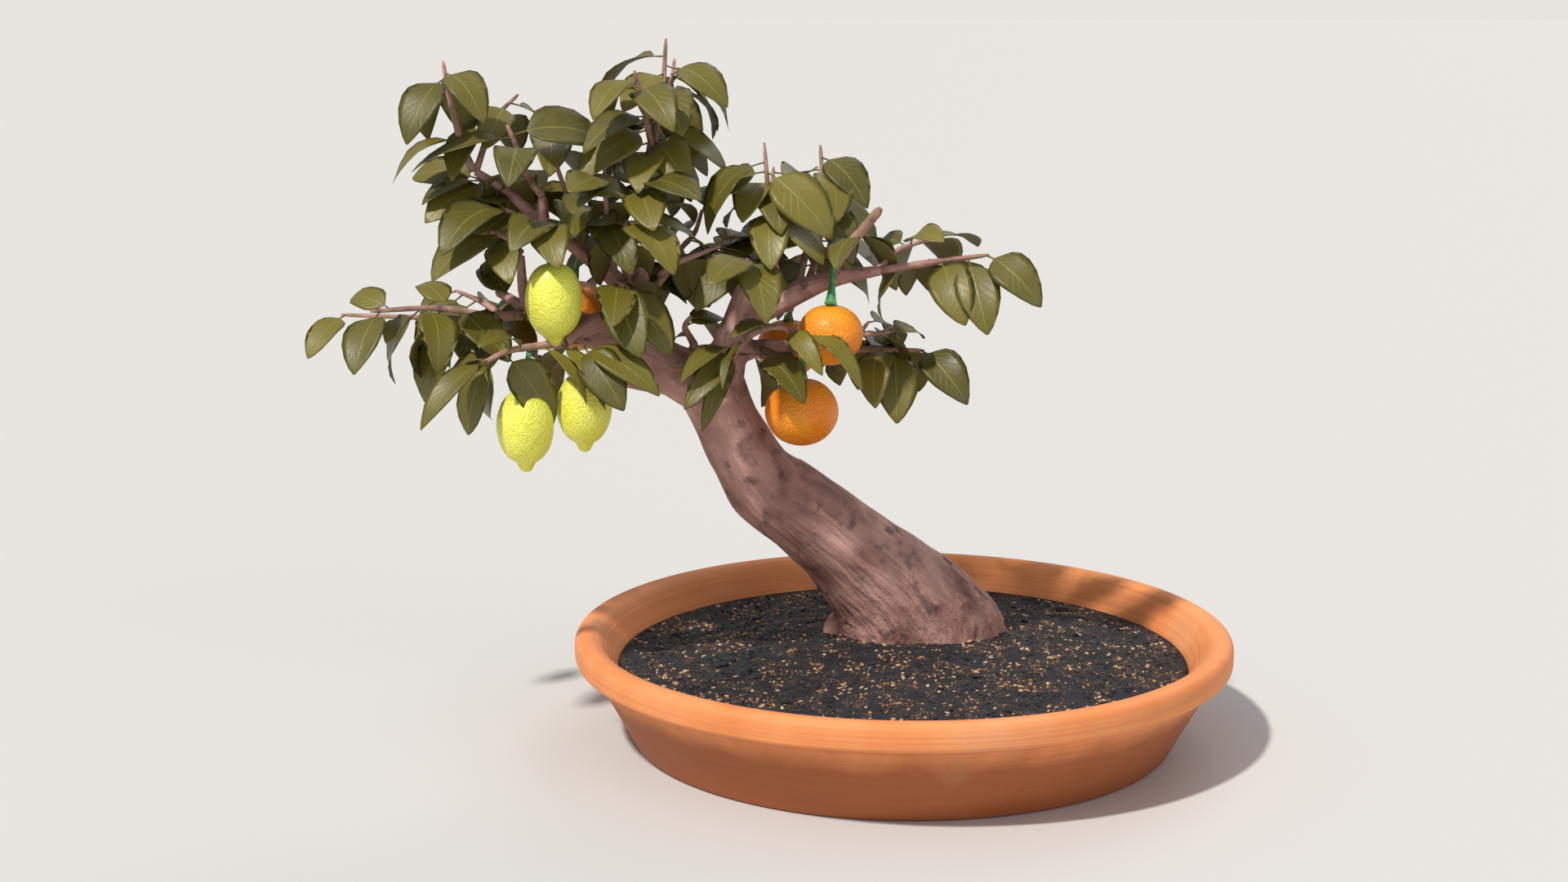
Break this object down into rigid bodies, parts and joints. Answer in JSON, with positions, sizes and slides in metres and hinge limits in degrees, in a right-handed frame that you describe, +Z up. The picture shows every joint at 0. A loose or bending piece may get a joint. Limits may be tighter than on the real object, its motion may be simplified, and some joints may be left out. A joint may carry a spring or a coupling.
{
  "type": "potted citrus tree",
  "caption": "Leaning bonsai-style citrus tree with forked limbs, leafy shoots, hanging lemons and small oranges, in soil in a wide low terracotta bowl.",
  "frame": {"origin": "centre of the bowl's flat underside, on the surface it stands on", "axes": "+Z up, -X towards the side the trunk leans to, -Y towards the front of the tree"},
  "size_m": [0.8307, 0.6, 0.6324],
  "materials": {
    "terracotta": "matte",
    "soil": "matte",
    "bark": "matte",
    "leaf": "satin",
    "lemon_peel": "satin",
    "orange_peel": "satin",
    "stalk": "matte"
  },
  "bodies": {
    "root": {"lemon_front": "lemon_peel", "lemon_front_stalk": "stalk", "lemon_high": "lemon_peel", "lemon_high_stalk": "stalk", "lemon_low": "lemon_peel", "lemon_low_stalk": "stalk", "orange_back": "orange_peel", "orange_back_stalk": "stalk", "orange_left": "orange_peel", "orange_left_stalk": "stalk", "orange_low": "orange_peel", "orange_low_stalk": "stalk", "orange_right": "orange_peel", "orange_right_stalk": "stalk", "potting_soil": "soil", "shoot_back_centre": "leaf", "shoot_back_head": "leaf", "shoot_back_left": "leaf", "shoot_back_low": "leaf", "shoot_back_reach": "leaf", "shoot_back_right": "leaf", "shoot_back_top": "leaf", "shoot_branch_c_end": "leaf", "shoot_branch_c_upper": "leaf", "shoot_branch_d_end": "leaf", "shoot_branch_d_upper": "leaf", "shoot_centre_left": "leaf", "shoot_crook_front": "leaf", "shoot_crook_left": "leaf", "shoot_crown_low": "leaf", "shoot_crown_mid": "leaf", "shoot_cut_twig": "leaf", "shoot_fork_left": "leaf", "shoot_fork_right": "leaf", "shoot_fork_twig": "leaf", "shoot_front_shade": "leaf", "shoot_front_sweep": "leaf", "shoot_knot_leaves": "leaf", "shoot_left_reach_a": "leaf", "shoot_left_reach_b": "leaf", "shoot_left_reach_c": "leaf", "shoot_left_spire": "leaf", "shoot_left_spire_side": "leaf", "shoot_low_stub": "leaf", "shoot_low_sweep": "leaf", "shoot_low_sweep_side": "leaf", "shoot_mid_spire_left": "leaf", "shoot_mid_spire_right": "leaf", "shoot_mid_spire_side": "leaf", "shoot_shade_pair": "leaf", "shoot_shoulder_left": "leaf", "shoot_shoulder_right": "leaf", "shoot_spur_left_a": "leaf", "shoot_spur_left_b": "leaf", "shoot_top_spire": "leaf", "shoot_top_spire_back": "leaf", "shoot_top_spire_side": "leaf", "terracotta_bowl": "terracotta", "trunk_and_limbs": "bark"}
  },
  "joints": []
}
